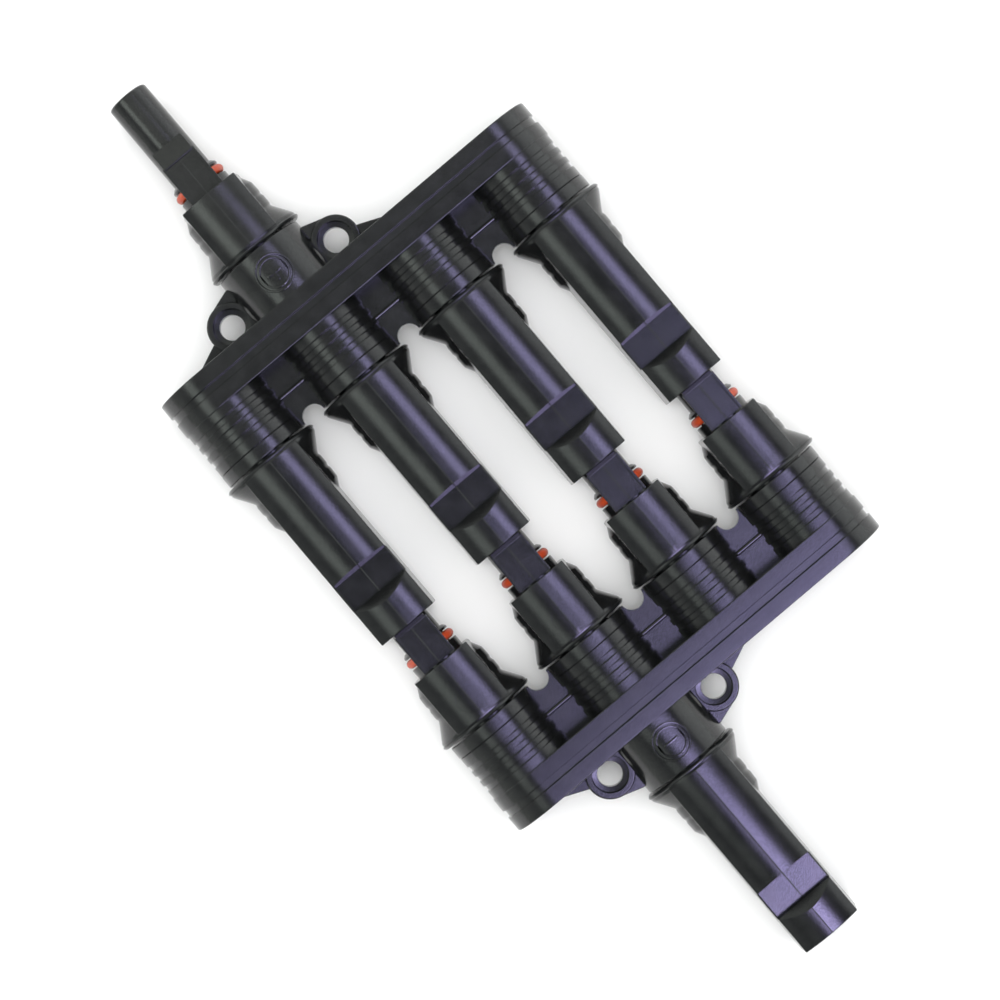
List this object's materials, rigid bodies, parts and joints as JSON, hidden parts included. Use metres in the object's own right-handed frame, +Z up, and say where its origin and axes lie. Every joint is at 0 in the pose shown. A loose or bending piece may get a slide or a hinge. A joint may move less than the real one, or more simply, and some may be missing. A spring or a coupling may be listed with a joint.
{
  "type": "solar cable connector",
  "caption": "Pair of flat four-to-one branch connectors for solar cables, partly plugged together: ribbed black housings, long pin shells, round probes with red O-rings.",
  "frame": {"origin": "on the surface that the pair lies on, under the middle of the whole pair", "axes": "+X along the spines, +Y along the ports towards the pin branch's trunk probe, +Z up"},
  "size_m": [0.1072, 0.2404, 0.022],
  "materials": {
    "plastic": "black glass-filled plastic, fine moulded grain, semi-matt",
    "seal": "smooth orange-red silicone rubber",
    "contact": "tin-plated copper, satin",
    "brass": "plain brass, satin"
  },
  "bodies": {
    "pin_branch": {"pin_branch_body": "plastic", "pin_branch_busbar": "brass", "pin_branch_shell_1": "plastic", "pin_branch_shell_2": "plastic", "pin_branch_shell_3": "plastic", "pin_branch_shell_4": "plastic", "pin_branch_pin_1": "contact", "pin_branch_pin_2": "contact", "pin_branch_pin_3": "contact", "pin_branch_pin_4": "contact", "pin_branch_trunk_housing": "plastic", "pin_branch_trunk_socket": "contact", "pin_branch_trunk_band": "brass", "pin_branch_trunk_seal": "seal"},
    "socket_branch": {"socket_branch_body": "plastic", "socket_branch_busbar": "brass", "socket_branch_housing_1": "plastic", "socket_branch_housing_2": "plastic", "socket_branch_housing_3": "plastic", "socket_branch_housing_4": "plastic", "socket_branch_socket_1": "contact", "socket_branch_socket_2": "contact", "socket_branch_socket_3": "contact", "socket_branch_socket_4": "contact", "socket_branch_band_1": "brass", "socket_branch_band_2": "brass", "socket_branch_band_3": "brass", "socket_branch_band_4": "brass", "socket_branch_seal_1": "seal", "socket_branch_seal_2": "seal", "socket_branch_seal_3": "seal", "socket_branch_seal_4": "seal", "socket_branch_trunk_shell": "plastic", "socket_branch_trunk_pin": "contact"},
    "pin_branch_trunk_latch_top_finger": {"pin_branch_trunk_latch_top": "plastic"},
    "pin_branch_trunk_latch_bottom_finger": {"pin_branch_trunk_latch_bottom": "plastic"},
    "socket_branch_latch_1_top_finger": {"socket_branch_latch_1_top": "plastic"},
    "socket_branch_latch_1_bottom_finger": {"socket_branch_latch_1_bottom": "plastic"},
    "socket_branch_latch_2_top_finger": {"socket_branch_latch_2_top": "plastic"},
    "socket_branch_latch_2_bottom_finger": {"socket_branch_latch_2_bottom": "plastic"},
    "socket_branch_latch_3_top_finger": {"socket_branch_latch_3_top": "plastic"},
    "socket_branch_latch_3_bottom_finger": {"socket_branch_latch_3_bottom": "plastic"},
    "socket_branch_latch_4_top_finger": {"socket_branch_latch_4_top": "plastic"},
    "socket_branch_latch_4_bottom_finger": {"socket_branch_latch_4_bottom": "plastic"}
  },
  "joints": [
    {"name": "plug_slide", "type": "slide", "parent": "pin_branch", "child": "socket_branch", "axis": [0, 1, 0], "range_m": [-0.04, 0.0108]},
    {"name": "pin_branch_trunk_latch_top_flex", "type": "hinge", "parent": "pin_branch", "child": "pin_branch_trunk_latch_top_finger", "pos_m": [-0.01375, 0.0914, 0.01847], "axis": [1, 0, 0], "range_deg": [-2.5, 0], "stiffness_Nm_per_rad": 0.02},
    {"name": "pin_branch_trunk_latch_bottom_flex", "type": "hinge", "parent": "pin_branch", "child": "pin_branch_trunk_latch_bottom_finger", "pos_m": [-0.01375, 0.0914, 0.00352], "axis": [-1, 0, 0], "range_deg": [-2.5, 0], "stiffness_Nm_per_rad": 0.02},
    {"name": "socket_branch_latch_1_top_flex", "type": "hinge", "parent": "socket_branch", "child": "socket_branch_latch_1_top_finger", "pos_m": [-0.04125, -0.0199, 0.01847], "axis": [1, 0, 0], "range_deg": [-2.5, 0], "stiffness_Nm_per_rad": 0.02},
    {"name": "socket_branch_latch_1_bottom_flex", "type": "hinge", "parent": "socket_branch", "child": "socket_branch_latch_1_bottom_finger", "pos_m": [-0.04125, -0.0199, 0.00352], "axis": [-1, 0, 0], "range_deg": [-2.5, 0], "stiffness_Nm_per_rad": 0.02},
    {"name": "socket_branch_latch_2_top_flex", "type": "hinge", "parent": "socket_branch", "child": "socket_branch_latch_2_top_finger", "pos_m": [-0.01375, -0.0199, 0.01847], "axis": [1, 0, 0], "range_deg": [-2.5, 0], "stiffness_Nm_per_rad": 0.02},
    {"name": "socket_branch_latch_2_bottom_flex", "type": "hinge", "parent": "socket_branch", "child": "socket_branch_latch_2_bottom_finger", "pos_m": [-0.01375, -0.0199, 0.00352], "axis": [-1, 0, 0], "range_deg": [-2.5, 0], "stiffness_Nm_per_rad": 0.02},
    {"name": "socket_branch_latch_3_top_flex", "type": "hinge", "parent": "socket_branch", "child": "socket_branch_latch_3_top_finger", "pos_m": [0.01375, -0.0199, 0.01847], "axis": [1, 0, 0], "range_deg": [-2.5, 0], "stiffness_Nm_per_rad": 0.02},
    {"name": "socket_branch_latch_3_bottom_flex", "type": "hinge", "parent": "socket_branch", "child": "socket_branch_latch_3_bottom_finger", "pos_m": [0.01375, -0.0199, 0.00352], "axis": [-1, 0, 0], "range_deg": [-2.5, 0], "stiffness_Nm_per_rad": 0.02},
    {"name": "socket_branch_latch_4_top_flex", "type": "hinge", "parent": "socket_branch", "child": "socket_branch_latch_4_top_finger", "pos_m": [0.04125, -0.0199, 0.01847], "axis": [1, 0, 0], "range_deg": [-2.5, 0], "stiffness_Nm_per_rad": 0.02},
    {"name": "socket_branch_latch_4_bottom_flex", "type": "hinge", "parent": "socket_branch", "child": "socket_branch_latch_4_bottom_finger", "pos_m": [0.04125, -0.0199, 0.00352], "axis": [-1, 0, 0], "range_deg": [-2.5, 0], "stiffness_Nm_per_rad": 0.02}
  ]
}
